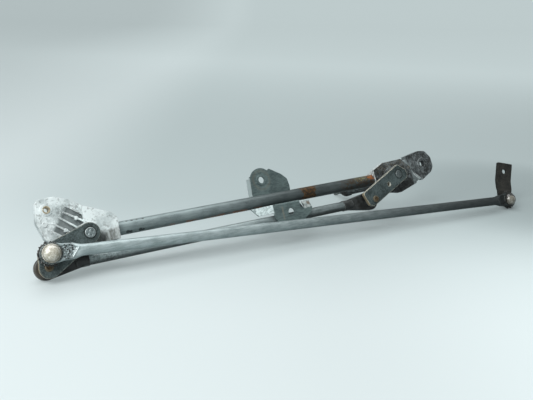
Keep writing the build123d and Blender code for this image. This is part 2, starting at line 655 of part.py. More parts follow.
# Moulded ball sockets snapped into the drive rod's eyes, domed towards the viewer
skirt_depth = 6.5
skirt_radius = 9.6
flange_seat = 11.6
seal_gap = 0.1
motor_end_plane = Plane(origin=motor_ball, x_dir=drive_rod_plane.x_dir, z_dir=drive_rod_plane.z_dir)
for socket_name, seat in (("drive_rod_left_socket", drive_rod_plane), ("drive_rod_right_socket", motor_end_plane)):
    inner = ball_radius + ball_clearance
    with BuildPart() as ball_socket:
        with BuildSketch(turned(seat)):
            with BuildLine():
                mouth = (mouth_radius, -sqrt(inner ** 2 - mouth_radius ** 2))
                Polyline(mouth, (mouth_radius, -skirt_depth), (skirt_radius, -skirt_depth), (flange_seat, -skirt_depth + 2),
                         (flange_seat, -drive_eye_half), (socket_seat_radius, -drive_eye_half),
                         (socket_seat_radius, drive_eye_half), (dome_radius, drive_eye_half),
                         (dome_radius, drive_eye_half + 1), (dome_radius * cos(0.34), dome_radius * sin(0.34)))
                RadiusArc((dome_radius * cos(0.34), dome_radius * sin(0.34)), (0, dome_radius), -dome_radius)
                Line((0, dome_radius), (0, inner))
                RadiusArc((0, inner), mouth, inner)
            make_face()
        revolve(axis=Axis(seat.origin, seat.z_dir))
    ball_socket.part.label = socket_name
    export_step(ball_socket.part, f"parts/{socket_name}.step")

    # rubber ring behind the eye that keeps the grease in
    with BuildPart() as grease_seal:
        with BuildSketch(turned(seat)):
            with BuildLine():
                Polyline((flange_seat + seal_gap, -drive_eye_half), (drive_eye_radius + 0.4, -drive_eye_half), (14.2, -3.6),
                         (13.9, -6.2), (11.8, -skirt_depth - 1.9), (skirt_radius + seal_gap, -skirt_depth - 1.9),
                         (skirt_radius + seal_gap, -skirt_depth - seal_gap / 2),
                         (flange_seat + seal_gap, -skirt_depth + 2 - seal_gap / 2), close=True)
            make_face()
        revolve(axis=Axis(seat.origin, seat.z_dir))
    seal_name = socket_name.replace("socket", "seal")
    grease_seal.part.label = seal_name
    export_step(grease_seal.part, f"parts/{seal_name}.step")

# Motor crank arm: a bar with a joggle, a rounded end at the ball and a square end at the spindle
spindle_hole_radius = 4.15
near_mid = -stud_reach - crank_thickness / 2
with BuildPart() as crank_arm:
    side_plane = turned(crank_plane)
    with BuildSketch(side_plane.offset(-crank_width / 2)):
        with BuildLine():
            Polyline((-crank_end_radius - 2, near_mid), (16, near_mid), (36, near_mid - crank_joggle),
                     (crank_radius + crank_tail + 2, near_mid - crank_joggle))
        trace(line_width=crank_thickness)
    extrude(amount=crank_width)
    with BuildSketch(crank_plane.offset(near_mid - 15)) as outline:
        Circle(crank_end_radius)
        with Locations(((20 + crank_radius + crank_tail) / 2, 0)):
            RectangleRounded(crank_radius + crank_tail - 20, crank_width, 2)
        make_hull()
    extrude(amount=30, mode=Mode.INTERSECT)
    with BuildSketch(crank_plane.offset(near_mid + 5)):
        Circle(rivet_radius)
        with Locations((crank_radius, 0)):
            Circle(spindle_hole_radius)
    extrude(amount=-20, mode=Mode.SUBTRACT)
crank_arm.part.label = "crank_arm"
export_step(crank_arm.part, "parts/crank_arm.step")
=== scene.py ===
import json
from math import cos, pi, radians, sin

import bpy
import numpy as np
from mathutils import Matrix, Vector


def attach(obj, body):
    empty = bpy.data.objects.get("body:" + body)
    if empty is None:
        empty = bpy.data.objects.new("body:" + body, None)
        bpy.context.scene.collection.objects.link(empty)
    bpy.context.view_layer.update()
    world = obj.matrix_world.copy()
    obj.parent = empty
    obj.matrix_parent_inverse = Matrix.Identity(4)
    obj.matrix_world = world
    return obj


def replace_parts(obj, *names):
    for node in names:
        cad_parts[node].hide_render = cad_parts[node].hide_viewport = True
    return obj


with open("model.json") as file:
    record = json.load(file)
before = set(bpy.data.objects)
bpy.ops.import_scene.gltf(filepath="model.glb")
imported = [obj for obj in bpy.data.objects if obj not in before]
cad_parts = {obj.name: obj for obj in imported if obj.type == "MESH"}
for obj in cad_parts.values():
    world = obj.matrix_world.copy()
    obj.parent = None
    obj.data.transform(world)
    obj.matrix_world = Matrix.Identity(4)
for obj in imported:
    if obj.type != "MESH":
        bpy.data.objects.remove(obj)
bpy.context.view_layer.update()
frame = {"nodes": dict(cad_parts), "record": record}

nodes = frame["nodes"]
record = frame["record"]
scene = bpy.context.scene

# The tilted frame of the linkage: x along the tube, y across it, z along the pivot shafts
joints = {joint["name"]: joint for joint in record["behaviour"]["joints"]}
mounts = {mount["name"]: mount for mount in record["mounts"]}
PIVOT = Vector(joints["left_pivot"]["pos_m"])
SHAFT = Vector(joints["left_pivot"]["axis"]).normalized()
ALONG = (Vector(joints["right_pivot"]["pos_m"]) - PIVOT).normalized()
ACROSS = SHAFT.cross(ALONG)
TILT = Matrix((ALONG, ACROSS, SHAFT)).transposed()


def place(points):
    """World points, in metres, of points of the tilted frame, in millimetres: PIVOT + x ALONG + y ACROSS + z SHAFT."""
    return np.array(PIVOT) + np.asarray(points) / 1000 @ np.array([ALONG, ACROSS, SHAFT])


def within(point):
    """A world point in millimetres of the tilted frame."""
    return tuple(1000 * (Vector(point) - PIVOT).dot(way) for way in (ALONG, ACROSS, SHAFT))


def joint_at(name):
    """The place of a joint in millimetres of the tilted frame."""
    return within(joints[name]["pos_m"])


def mount_at(name):
    """The place of a mount in millimetres of the tilted frame."""
    return within(mounts[name]["pos_m"])


def rgb(*levels):
    """Linear colour from sRGB levels of 0 to 255."""
    return tuple(((level / 255 + 0.055) / 1.055) ** 2.4 for level in levels)


# Materials

class Finish:
    """A material under construction: its nodes read the tilted frame's own coordinates, in metres."""

    def __init__(self, name, metallic=0.0):
        self.material = bpy.data.materials.new(name)
        self.material.use_nodes = True
        self.tree = self.material.node_tree
        self.shader = self.tree.nodes["Principled BSDF"]
        self.shader.inputs["Metallic"].default_value = metallic
        self.source = self.add("ShaderNodeTexCoord")
        local = self.add("ShaderNodeMapping", vector_type="TEXTURE")
        local.inputs["Location"].default_value = PIVOT
        local.inputs["Rotation"].default_value = TILT.to_euler("XYZ")
        self.link(self.source.outputs["Object"], local.inputs["Vector"])
        self.where = local.outputs["Vector"]
        self.axes = self.add("ShaderNodeSeparateXYZ")
        self.link(self.where, self.axes.inputs[0])

    def add(self, kind, **settings):
        node = self.tree.nodes.new(kind)
        for key, value in settings.items():
            setattr(node, key, value)
        return node

    def link(self, a, b):
        self.tree.links.new(a, b)

    def put(self, socket, value):
        """Gives a socket a link, a colour or a number."""
        if hasattr(value, "is_linked"):
            self.link(value, socket)
        elif isinstance(value, tuple) and len(value) == 3 and socket.type == "RGBA":
            socket.default_value = (*value, 1)
        else:
            socket.default_value = value

    def math(self, operation, a, b=0.0):
        node = self.add("ShaderNodeMath", operation=operation)
        for socket, value in zip(node.inputs, (a, b)):
            self.put(socket, value)
        return node.outputs[0]

    def times(self, first, *others):
        """The product of two or more."""
        for other in others:
            first = self.math("MULTIPLY", first, other)
        return first

    def plus(self, a, b):
        return self.math("ADD", a, b)

    def minus(self, a, b):
        return self.math("SUBTRACT", a, b)

    def mix(self, amount, a, b, how="MIX"):
        node = self.add("ShaderNodeMix", data_type="RGBA", blend_type=how)
        for index, value in ((0, amount), (6, a), (7, b)):
            self.put(node.inputs[index], value)
        return node.outputs[2]

    def paint(self, color, tint, mask, strength=1.0):
        """The colour covered with a tint where the mask is one, as far as the strength."""
        return self.mix(self.times(mask, strength), color, tint)

    def stretched(self, scale):
        """The coordinates scaled, for streaks along one direction."""
        node = self.add("ShaderNodeMapping", vector_type="POINT")
        node.inputs["Scale"].default_value = scale
        self.link(self.where, node.inputs["Vector"])
        return node.outputs["Vector"]

    def noise(self, scale, detail=4.0, rough=0.6, at=None, warp=0.0):
        """Noise of 0 to 1 around 0.5, its scale in waves to the metre."""
        node = self.add("ShaderNodeTexNoise")
        node.inputs["Scale"].default_value = scale
        node.inputs["Detail"].default_value = detail
        node.inputs["Roughness"].default_value = rough
        node.inputs["Distortion"].default_value = warp
        self.link(at or self.where, node.inputs["Vector"])
        return node.outputs["Fac"]

    def cells(self, scale):
        """Distance from the nearest of scattered points, for pits."""
        node = self.add("ShaderNodeTexVoronoi", feature="F1")
        node.inputs["Scale"].default_value = scale
        self.link(self.where, node.inputs["Vector"])
        return node.outputs["Distance"]

    def ramp(self, value, low, high, a=0.0, b=1.0):
        """Value taken smoothly from a to b while the input goes from low to high."""
        node = self.add("ShaderNodeMapRange", interpolation_type="SMOOTHSTEP")
        for socket, number in zip(node.inputs, (value, low, high, a, b)):
            self.put(socket, number)
        return node.outputs[0]

    def patchy(self, scale, low, high, detail=4.0, rough=0.6, a=0.0, b=1.0, warp=0.0):
        """Ragged patches: noise taken smoothly from a to b between two of its levels."""
        return self.ramp(self.noise(scale, detail, rough, warp=warp), low, high, a, b)

    def spot(self, centre, radius, soft=0.5, ragged=0.35, scale=400.0):
        """One near a point of the tilted frame, in millimetres, falling to zero at a ragged edge."""
        node = self.add("ShaderNodeVectorMath", operation="DISTANCE")
        self.link(self.where, node.inputs[0])
        node.inputs[1].default_value = tuple(c / 1000 for c in centre)
        away = self.math("DIVIDE", node.outputs["Value"], radius / 1000)
        away = self.plus(away, self.times(self.minus(self.noise(scale), 0.5), 2 * ragged))
        return self.ramp(away, 1.0 + soft / 2, 1.0 - soft / 2)

    def outside(self, centre, radius, **edge):
        """The opposite of a spot."""
        return self.minus(1.0, self.spot(centre, radius, **edge))

    def band(self, axis, low, high, soft=1.0, ragged=0.0):
        """One between two places on an axis of the tilted frame, in millimetres, ragged by noise where asked."""
        value = self.axes.outputs[axis]
        if ragged:
            value = self.plus(value, self.times(self.minus(self.noise(170.0), 0.5), ragged / 500))
        rise = self.ramp(value, (low - soft / 2) / 1000, (low + soft / 2) / 1000)
        fall = self.ramp(value, (high + soft / 2) / 1000, (high - soft / 2) / 1000)
        return self.times(rise, fall)

    def beyond(self, along, across, start):
        """Distance in metres past the slanted line along x + across y = start, which is in millimetres."""
        x, y = self.axes.outputs["X"], self.axes.outputs["Y"]
        return self.minus(self.plus(self.times(x, along), self.times(y, across)), start / 1000)

    def facing(self, way, low, high):
        """One where the surface looks along a fixed direction of its own piece."""
        node = self.add("ShaderNodeVectorMath", operation="DOT_PRODUCT")
        self.link(self.source.outputs["Normal"], node.inputs[0])
        node.inputs[1].default_value = tuple(way)
        return self.ramp(node.outputs["Value"], low, high)

    def edges(self, radius):
        """One at the sharp edges, from how far a rounded normal leans from the true one, and that rounded normal."""
        rounded = self.add("ShaderNodeBevel", samples=6)
        rounded.inputs["Radius"].default_value = radius / 1000
        true = self.add("ShaderNodeNewGeometry")
        node = self.add("ShaderNodeVectorMath", operation="DOT_PRODUCT")
        self.link(rounded.outputs["Normal"], node.inputs[0])
        self.link(true.outputs["Normal"], node.inputs[1])
        return self.ramp(node.outputs["Value"], 0.995, 0.85), rounded.outputs["Normal"]

    def bump(self, height, distance, normal):
        """A normal bumped at full strength, its height in millimetres."""
        node = self.add("ShaderNodeBump")
        node.inputs["Strength"].default_value = 1.0
        node.inputs["Distance"].default_value = distance / 1000
        self.put(node.inputs["Height"], height)
        self.link(normal, node.inputs["Normal"])
        return node.outputs["Normal"]

    def stained(self, color, stains):
        """The colour with ragged stains: centre and radius in millimetres, tint, strength."""
        for centre, radius, tint, strength in stains:
            color = self.paint(color, tint, self.spot(centre, radius, soft=0.8), strength)
        return color

    def fading(self, color, start, end, left):
        """The colour darkened along x, by old grime and by painted shade where the light falls off, from start to end
        in millimetres, until a share is left.
        """
        share = self.ramp(self.axes.outputs["X"], start / 1000, end / 1000, 1.0, left)
        return self.mix(1.0, color, share, "MULTIPLY")

    def finish(self, color, rough, normal=None):
        """Ends the shader and gives the material."""
        self.put(self.shader.inputs["Base Color"], color)
        self.put(self.shader.inputs["Roughness"], rough)
        if normal is not None:
            self.link(normal, self.shader.inputs["Normal"])
        return self.material


# Dark colour for grime specks, and for painted shade on the link rod
GRIME_AND_SHADE = rgb(38, 37, 33)
BLACK = rgb(22, 23, 21)
FRESH_RUST = rgb(164, 92, 34)
BARE = rgb(196, 202, 200)
PALE = rgb(214, 222, 222)


def steel(name, light, dark, fade=None, rough=0.42, metallic=0.45, drawn=(1, 1, 1), grime=0.5, edge=BARE,
          edge_radius=0.7, edge_wear_and_light=0.8, extra=None):
    """Used steel: two close greys in drawn streaks and soft clouds, dark specks, rubbed edges (on the levers and shafts
    also a painted highlight, on the bracket a painted shade), fading along x.
    """
    f = Finish(name, metallic)
    streaks = f.noise(520.0, 4.0, 0.6, f.stretched(drawn))
    clouds = f.noise(60.0, 3.0, 0.55)
    specks = f.noise(1100.0, 2.0, 0.5)
    tone = f.plus(f.times(streaks, 0.6), f.times(clouds, 0.4))
    color = f.mix(f.ramp(tone, 0.38, 0.62), dark, light)
    dirt = f.plus(f.times(specks, 0.75), f.times(clouds, 0.25))
    color = f.paint(color, GRIME_AND_SHADE, f.ramp(dirt, 0.42, 0.34), grime)
    rubbed_and_lit_edges, normal = f.edges(edge_radius)
    # Edge tint: rubbed metal, a painted highlight on the levers and shafts, painted shade on the bracket
    color = f.paint(color, edge, f.times(rubbed_and_lit_edges, f.patchy(300.0, 0.3, 0.5, 3.0)), edge_wear_and_light)
    if fade:
        color = f.fading(color, *fade)
    if extra:
        color = extra(f, color)
    roughness = f.plus(f.times(tone, 0.3), rough - 0.15)
    height = f.plus(f.times(streaks, 0.6), f.times(specks, 0.4))
    return f.finish(color, roughness, f.bump(height, 0.06, normal))


def casting(name, light, dark, dirt, dirty, extra, edge=rgb(232, 238, 238), stains=()):
    """Die-cast aluminium: a grainy skin, flow clouds, dark flecks and pits, stains and pale rubbed edges."""
    f = Finish(name, metallic=0.25)
    grain = f.noise(1500.0, 3.0, 0.7)
    clouds = f.noise(42.0, 4.0, 0.6)
    patches = f.noise(190.0, 5.0, 0.7)
    color = f.mix(f.ramp(clouds, 0.38, 0.6), dark, light)
    color = f.paint(color, dirt, f.ramp(patches, 0.47, 0.36), dirty)
    pits = f.ramp(f.plus(f.cells(520.0), f.times(patches, 0.5)), 0.42, 0.3)
    color = f.paint(color, dirt, pits, 0.5)
    color = f.paint(color, edge, f.ramp(grain, 0.56, 0.7), 0.35)
    color = extra(f, color)
    rubbed_and_lit_edges, normal = f.edges(0.9)
    color = f.paint(color, edge, rubbed_and_lit_edges, 0.6)
    color = f.stained(color, stains)
    height = f.minus(f.plus(f.times(grain, 0.7), patches), pits)
    return f.finish(color, f.plus(f.times(clouds, 0.25), 0.48), f.bump(height, 0.22, normal))


def moulding(name, light, dark, rough, gloss=0.0, stains=(), extra=None, edge=None):
    """Moulded plastic or rubber: soft clouds of tone, a fine orange-peel surface, stains and, where an edge colour is
    given, pale edges that are a painted highlight.
    """
    f = Finish(name)
    clouds = f.noise(140.0, 5.0, 0.65)
    color = f.mix(f.ramp(clouds, 0.36, 0.62), dark, light)
    if extra:
        color = extra(f, color)
    color = f.stained(color, stains)
    rubbed_and_lit_edges, normal = f.edges(1.0)
    if edge:
        color = f.paint(color, edge, f.times(rubbed_and_lit_edges, f.patchy(200.0, 0.3, 0.55, 3.0)), 0.6)
    f.shader.inputs["Coat Weight"].default_value = gloss
    f.shader.inputs["Coat Roughness"].default_value = 0.15
    roughness = f.plus(f.times(clouds, 0.4), rough - 0.2)
    return f.finish(color, roughness, f.bump(f.plus(f.noise(1500.0, 2.0), f.noise(420.0, 3.0)), 0.06, normal))


# Crimp marks of the tube in two rows: x, y, z and radius
CRIMPS = ((55, 7.4, 5, 1.4), (62, 7.2, 5.3, 1.6), (69, 7.4, 5, 1.2), (77, 7.0, 5.6, 1.5),
          (54, -6.4, 6.2, 2.6), (58, -6.6, 6.0, 2.2), (71, -6.6, 6.2, 2.6), (75, -6.8, 5.8, 1.8))


def tube_marks(f, color):
    """Crimp marks at the left end, a rusty band past the bracket, flaky, fresh and yellow rust at the right end and
    a thin rust line below."""
    for *centre, radius in CRIMPS:
        color = f.paint(color, BLACK, f.spot(centre, radius, ragged=0.5, scale=700.0), 0.75)
    brown = f.mix(f.patchy(300.0, 0.4, 0.6), rgb(50, 38, 24), rgb(98, 68, 34))
    color = f.paint(color, brown, f.band("X", 323, 350, 3.0, ragged=18.0), 0.92)
    flaky = f.times(f.band("X", 400, 480, 30.0, ragged=20.0), f.patchy(210.0, 0.44, 0.54, 5.0, 0.7))
    color = f.paint(color, rgb(72, 54, 34), flaky, 0.7)
    upper = f.band("Y", 1.5, 12, 3.0, ragged=6.0)
    fresh = f.times(f.band("X", 449, 466, 4.0, ragged=12.0), upper, f.patchy(330.0, 0.42, 0.56, 4.0, 0.7))
    color = f.paint(color, FRESH_RUST, fresh)
    yellow = f.times(f.band("X", 426, 452, 8.0, ragged=10.0), upper, f.patchy(520.0, 0.5, 0.6, 4.0, 0.7))
    color = f.paint(color, rgb(150, 142, 96), yellow)
    below = f.times(f.band("Y", -9.4, -6.8, 0.8, ragged=1.0), f.patchy(60.0, 0.42, 0.58),
                    f.band("X", 110, 260, 30.0))
    return f.paint(color, FRESH_RUST, below, 0.6)


# Painted highlight spots on the left crease of the drive rod: x and y from the ball
CREASE_HIGHLIGHTS = ((30.4, 0.2), (28.9, -1.6), (27.3, -3.4), (25.7, -5.3), (24.0, -7.3))


def rod_grease_and_glints(f, color):
    """Black grease round both eyes of the drive rod and in their pressed pockets. The left eye has painted glints, and
    the crease beside it painted highlight spots."""
    for ball, way in (("drive_ball", 1), ("crank_ball", -1)):
        x, y, z = joint_at(ball)
        pocket = f.spot((x + way * 19.5, y - way * 1.5, z + 1), 10, soft=0.25, ragged=0.15)
        color = f.paint(color, BLACK, f.times(pocket, f.patchy(700.0, 0.4, 0.6, 4.0, 0.7, a=0.75, b=0.1)))
        color = f.paint(color, BLACK, f.times(pocket, f.ramp(f.cells(330.0), 0.4, 0.22)))
        eye = f.spot((x, y, z), 13.6, soft=0.06, ragged=0.08)
        color = f.paint(color, rgb(44, 44, 40), f.times(eye, f.patchy(420.0, 0.4, 0.6, 3.0, a=0.95, b=0.6)))
        if ball == "drive_ball":
            # Painted glints on the left eye and painted highlight spots along its crease
            color = f.paint(color, rgb(206, 212, 206), f.times(eye, f.patchy(640.0, 0.56, 0.62, 3.0)), 0.35)
            for along, across in CREASE_HIGHLIGHTS:
                crease = f.spot((x + along, y + across, z + 3), 1.7, soft=0.9, ragged=0.1)
                color = f.paint(color, rgb(214, 226, 226), crease, 0.6)
    return color


def rod_shade_and_smudges(f, color):
    """The link rod has painted shade below and along its very top, and is smudged black where it leaves its left end.
    """
    # Painted shade on the underside and along the very top of the link rod
    dark = f.plus(f.facing(-ACROSS, 0.0, 0.7), f.facing(ACROSS, 0.86, 0.98))
    color = f.paint(color, GRIME_AND_SHADE, dark, 0.7)
    smudge = f.times(f.band("X", -10, 40, 26.0), f.patchy(330.0, 0.46, 0.58, 5.0, 0.7))
    return f.paint(color, GRIME_AND_SHADE, smudge, 0.45)


# The locating hole of the right lever, from the right pivot, and a radius that takes in its wall
LEVER_HOLE, LEVER_HOLE_REACH = (-22.1, -14.8, 32), 5.5


def lever_walls(f, color):
    """The cut walls of a lever are bare and slightly tan, with painted light on them, its flat faces grey. The locating
    hole's wall is painted bright as a highlight, and a dark ring of painted shade lies round each staked shaft."""
    walls = f.times(f.facing(SHAFT, 0.5, 0.2), f.facing(-SHAFT, 0.5, 0.2))
    tan = f.mix(f.facing(-ALONG, 0.6, 0.9), rgb(172, 172, 162), rgb(176, 160, 130))
    # Bare metal walls with painted light on them
    color = f.paint(color, tan, walls, 0.75)
    hole = tuple(a + b for a, b in zip(joint_at("right_pivot"), LEVER_HOLE))
    # Painted highlight on the locating hole's wall
    color = f.paint(color, rgb(204, 210, 208), f.times(f.spot(hole, LEVER_HOLE_REACH, ragged=0.0), walls), 0.8)
    for joint in ("left_pivot", "right_pivot"):
        x, y, z = joint_at(joint)
        # Painted shade: a dark ring in the crevice round each staked head
        head = (x, y, z + 30)
        ring = f.minus(f.spot(head, 7.6, soft=0.1, ragged=0.05), f.spot(head, 6.3, soft=0.1, ragged=0.0))
        color = f.paint(color, BLACK, ring, 0.7)
    return color


def bracket_bends(f, color):
    """The shelf and the turned-back flange on the left are painted brighter, as lit faces, the fold of the lower tab
    has a painted highlight and its hook is worn, with a slot painted black as shade and a brown spot, and there is a
    bronze tint round the upper hole."""
    # Patchy noise: for the painted light on the shelf and for wear on the hook
    worn = f.patchy(260.0, 0.38, 0.6)
    # Painted light on the shelf and the flange that face left
    shelf = f.times(f.band("X", 226, 261, 2.0), f.band("Y", -24, -6, 1.0))
    color = f.paint(color, f.mix(worn, rgb(160, 174, 174), rgb(204, 218, 218)), shelf, 0.95)
    flange = f.times(f.band("X", 240, 254, 1.0), f.band("Y", 2, 37, 1.0), f.facing(-ALONG, 0.4, 0.8))
    color = f.paint(color, rgb(196, 208, 208), flange, 0.85)
    tab = f.band("Z", 14, 26, 1.0)
    # Painted highlight along the fold
    fold = f.times(f.band("X", 274.2, 276.8, 0.8, ragged=1.5), f.band("Y", -33, -14, 2.0), tab)
    color = f.paint(color, rgb(148, 142, 126), fold, 0.4)
    hook = f.times(f.band("X", 312.5, 326, 1.0, ragged=3.0), f.band("Y", -22, -6, 2.0, ragged=4.0), tab)
    color = f.paint(color, f.mix(worn, rgb(150, 158, 156), rgb(206, 214, 212)), hook, 0.7)
    # Painted shade: the slot is painted black
    color = f.paint(color, BLACK, f.spot((309.6, -17, 22), 4.5, ragged=0.3), 0.75)
    color = f.paint(color, rgb(104, 80, 54), f.spot((322, -15, 22), 3.5), 0.7)
    hole = mount_at("bracket_upper_bolt")
    ring = f.times(f.spot(hole, 15, soft=0.3, ragged=0.2), f.outside(hole, 12, soft=0.3))
    return f.paint(color, rgb(140, 126, 104), ring, 0.22)


def ear_hollow(f, color):
    """Painted shade on the floor of the left ear's pocket, darker mottling beside the block and left of the ribs, and
    dark streaky dirt on the block's lower part."""
    # Painted shade in the pocket's floor between the ribs
    pocket = f.times(f.spot((-19, 17, 1), 23, soft=0.15, ragged=0.1), f.band("Z", -8, 5.2, 1.2))
    color = f.paint(color, f.mix(f.noise(320.0), rgb(66, 72, 73), rgb(140, 148, 149)), pocket, 0.75)
    beside = f.times(f.band("X", -30, -0.5, 8.0, ragged=10.0), f.band("Y", 24, 40, 6.0, ragged=8.0),
                     f.band("Z", 4, 8, 1.0), f.patchy(420.0, 0.4, 0.58, 5.0, 0.7))
    color = f.paint(color, rgb(96, 102, 102), beside, 0.6)
    shade = f.times(f.spot((-40, 12, 4), 17, soft=0.7, ragged=0.6), f.patchy(260.0, 0.38, 0.6, 5.0, 0.7))
    color = f.paint(color, rgb(128, 137, 138), shade, 0.4)
    lower = f.times(f.band("X", 8, 44, 6.0, ragged=8.0), f.band("Y", -16, 1, 8.0, ragged=8.0))
    streaky = f.ramp(f.noise(300.0, at=f.stretched((1, 0.3, 1))), 0.4, 0.6)
    return f.paint(color, f.mix(streaky, rgb(72, 70, 62), rgb(166, 172, 170)), lower, 0.75)


# Slanted lines on the right casting, for Finish.beyond: the middle of its neck and the foot of its ear
NECK_LINE = (0.894, 0.446, 485.7)
EAR_LINE = (0.694, 0.72, 379.5)


def right_dirt_and_light(f, color):
    """Black dirt and grey flecks all over the right casting, painted shade on its lower part, painted light on the
    walls that look left, a painted highlight along its neck and on to the foot of the ear, a pale painted highlight rim
    at that foot and a dark ring of painted shade round the ear's hole."""
    x, y, _ = joint_at("right_pivot")
    front = f.facing(SHAFT, 0.6, 0.9)
    color = f.paint(color, BLACK, f.patchy(150.0, 0.54, 0.46, 5.0, 0.65), 0.72)
    color = f.paint(color, rgb(146, 154, 155), f.patchy(210.0, 0.54, 0.62, 4.0, 0.65), 0.45)
    color = f.paint(color, BLACK, f.patchy(520.0, 0.5, 0.4, 5.0, 0.75), 0.6)
    color = f.paint(color, rgb(150, 158, 158), f.patchy(640.0, 0.57, 0.64, 4.0, 0.7, warp=0.5), 0.45)
    # Painted shade on the casting's lower part
    lower = f.times(f.band("X", x - 20, x + 60, 6.0), f.band("Y", y - 40, y - 8, 8.0, ragged=8.0))
    color = f.paint(color, BLACK, lower, 0.7)
    # Painted light on the walls that look left
    wall_light = f.mix(f.patchy(300.0, 0.35, 0.5), rgb(120, 128, 128), PALE)
    walls = f.times(f.facing(ACROSS * 0.6 - ALONG * 0.8, 0.55, 0.75), f.band("X", x - 40, x + 12, 2.0),
                    f.band("Z", -24, 30, 4.0), f.outside((x, y, 14), 17, soft=0.1, ragged=0.0))
    color = f.paint(color, wall_light, walls, 0.9)
    dirt = f.times(f.band("X", x - 34, x + 44, 3.0), f.band("Y", y + 8, y + 26, 4.0), front,
                   f.patchy(420.0, 0.5, 0.58, 5.0, 0.7, warp=1.0))
    color = f.paint(color, rgb(112, 102, 84), dirt, 0.55)
    # Painted highlight along the neck, carried on below the foot of the ear, and a pale painted highlight rim along
    # that foot
    neck = f.times(f.ramp(f.math("ABSOLUTE", f.beyond(*NECK_LINE)), 0.0066, 0.004), f.band("Z", -16, 3.6, 0.6),
                   f.band("X", x + 28, x + 74, 1.0), f.patchy(240.0, 0.34, 0.56, a=0.6))
    color = f.paint(color, rgb(150, 160, 161), neck)
    past = f.beyond(*EAR_LINE)
    near = f.times(f.band("Z", -16, 12), f.band("X", x + 44, x + 76, 2.0))
    foot = f.times(f.ramp(past, 0.0002, -0.0002), near, f.patchy(240.0, 0.34, 0.56, a=0.5))
    color = f.paint(color, rgb(120, 130, 131), foot)
    rim = f.times(f.ramp(f.math("ABSOLUTE", past), 0.0019, 0.0009), near)
    color = f.paint(color, PALE, rim, 0.85)
    # Painted shade round the ear's hole
    ring = f.times(f.spot(mount_at("right_ear_bolt"), 6.2, soft=0.2, ragged=0.1), front)
    return f.paint(color, BLACK, ring, 0.85)


def rim_light_below(f, color):
    """A pale line along the lower side of the left moulded end: a painted highlight."""
    # Painted highlight along the lower side
    line = f.times(f.facing(-ACROSS, 0.7, 0.95), f.band("X", -52, -4, 6.0))
    return f.paint(color, rgb(150, 158, 158), line, 0.7)


def grease_and_shade(f, color):
    """Brown grease and flecks over both moulded domes, painted shade on their sides, mottled grease with painted shade
    on the left one's lower part, and grease on all of the right one but its middle."""
    color = f.paint(color, rgb(138, 130, 108), f.patchy(330.0, 0.5, 0.6, 5.0, 0.7), 0.5)
    color = f.paint(color, rgb(84, 74, 56), f.patchy(900.0, 0.53, 0.6, 3.0), 0.45)
    # Painted shade towards the rims of the domes
    color = f.paint(color, rgb(92, 86, 70), f.facing(SHAFT, 0.78, 0.35), 0.75)
    x, y, z = joint_at("drive_ball")
    # Mottled grease with painted shade on the left dome's lower part
    low = f.times(f.spot((x + 8, y - 6, z + 6), 9.5, soft=0.8), f.patchy(520.0, 0.4, 0.56, 4.0, 0.7))
    color = f.paint(color, rgb(150, 142, 120), low, 0.7)
    x, y, z = joint_at("crank_ball")
    smeared = f.times(f.outside((x - 4.5, y - 2.5, z + 10), 8.6, soft=0.2, ragged=0.15), f.band("X", x - 30, x + 60))
    color = f.paint(color, rgb(52, 50, 46), smeared)
    return f.fading(color, 300, 600, 0.42)


LINK_HEAD = 34  # height of the link studs' hammered heads over the pivot plane


def stud_heads(f, color):
    """The heads of the link studs are brown in the middle, inside a paler worn ring."""
    x, y, _ = joint_at("link_ball")
    pivot_gap = joint_at("right_pivot")[0]
    for head in ((x, y, LINK_HEAD), (x + pivot_gap, y, LINK_HEAD)):
        ring = f.times(f.spot(head, 6.5, soft=0.2, ragged=0.0), f.outside(head, 3.9, soft=0.3, ragged=0.1))
        color = f.paint(color, rgb(112, 106, 90), ring, 0.6)
    return color


def crank_side_shade(f, color):
    """The crank's sides that look left are painted black, as shade."""
    # Painted shade on the sides that look left
    return f.paint(color, rgb(12, 13, 12), f.facing(-ALONG, 0.4, 0.8), 0.9)


DRAWN = (0.12, 1, 1)  # streaks stretched along the tube and the rods
STEELS = {
    "tube_steel": dict(light=rgb(142, 156, 157), dark=rgb(122, 135, 136), fade=(120, 330, 0.3), drawn=DRAWN, grime=0.35,
                       extra=tube_marks),
    "rod_steel": dict(light=rgb(178, 192, 193), dark=rgb(148, 163, 164), fade=(60, 700, 0.1), rough=0.4, drawn=DRAWN,
                      grime=0.3, extra=rod_grease_and_glints),
    # Levers: pale edges of bare metal with a painted highlight along them
    "lever_steel": dict(light=rgb(94, 107, 107), dark=rgb(54, 64, 64), rough=0.5, edge=rgb(226, 222, 204),
                        edge_radius=1.7, edge_wear_and_light=1.0, extra=lever_walls),
    # Bracket: its dark edge tint is painted shade along its edges
    "bracket_steel": dict(light=rgb(112, 129, 128), dark=rgb(86, 101, 101), drawn=(0.3, 1, 1), grime=0.25,
                          edge=rgb(58, 66, 66), edge_wear_and_light=0.7, extra=bracket_bends),
    "crank_steel": dict(light=rgb(52, 51, 46), dark=rgb(14, 15, 14), rough=0.55, metallic=0.2, edge=rgb(96, 86, 66),
                        edge_wear_and_light=0.5, extra=crank_side_shade),
    "stud_steel": dict(light=rgb(100, 82, 56), dark=rgb(54, 44, 32), rough=0.45, edge=rgb(168, 156, 128),
                       edge_radius=1.2, extra=stud_heads),
    # Shafts: the pale edge tint is a painted highlight on the rims
    "shaft_steel": dict(light=rgb(146, 158, 159), dark=rgb(104, 116, 117), fade=(150, 450, 0.5), rough=0.4,
                        edge=rgb(222, 230, 230), edge_radius=1.2, edge_wear_and_light=1.0),
    "spring_steel": dict(light=rgb(80, 82, 86), dark=rgb(52, 54, 58), rough=0.35),
    "brass": dict(light=rgb(208, 198, 170), dark=rgb(150, 132, 98), rough=0.4),
    "bronze": dict(light=rgb(170, 130, 84), dark=rgb(122, 88, 54), rough=0.5),
}
